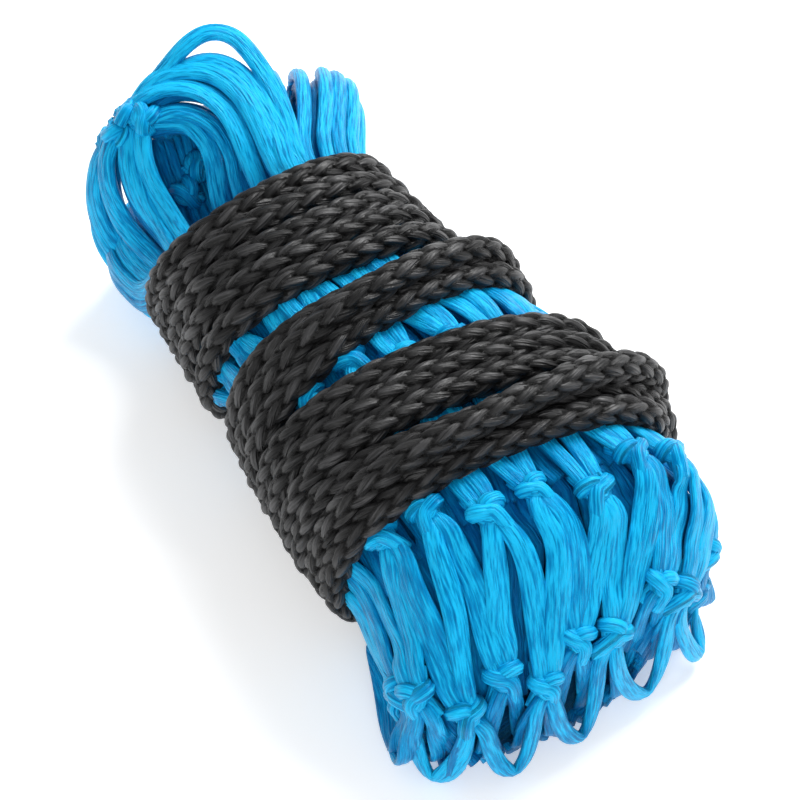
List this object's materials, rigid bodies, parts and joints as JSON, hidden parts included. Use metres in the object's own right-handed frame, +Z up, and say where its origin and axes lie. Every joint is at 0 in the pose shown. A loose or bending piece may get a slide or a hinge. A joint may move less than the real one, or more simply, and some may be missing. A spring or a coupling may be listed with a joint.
{
  "type": "drawcord net bag",
  "caption": "Knotted mesh net bag folded lengthwise into a bundle and lashed with its own braided drawcord, lying flat for storage.",
  "frame": {"origin": "under the middle of the folded netting, on the surface that the bundle rests on", "axes": "+X along the bundle towards the foot of the bag, +Y to its right, +Z up"},
  "size_m": [0.218, 0.104, 0.078],
  "materials": {
    "netting": "glossy multifilament",
    "gather_twine": "glossy multifilament",
    "drawcord": "braided, soft sheen"
  },
  "bodies": {
    "root": {"net_inner_roll": "netting", "net_outer_roll": "netting", "net_foot_fold": "netting", "net_floor_fold": "netting", "net_left_bights": "netting", "net_top_bights": "netting", "net_right_pleats": "netting", "gather_ring": "gather_twine", "drawcord_upper_winding": "drawcord", "drawcord_middle_winding": "drawcord", "drawcord_lower_winding": "drawcord"}
  },
  "joints": []
}
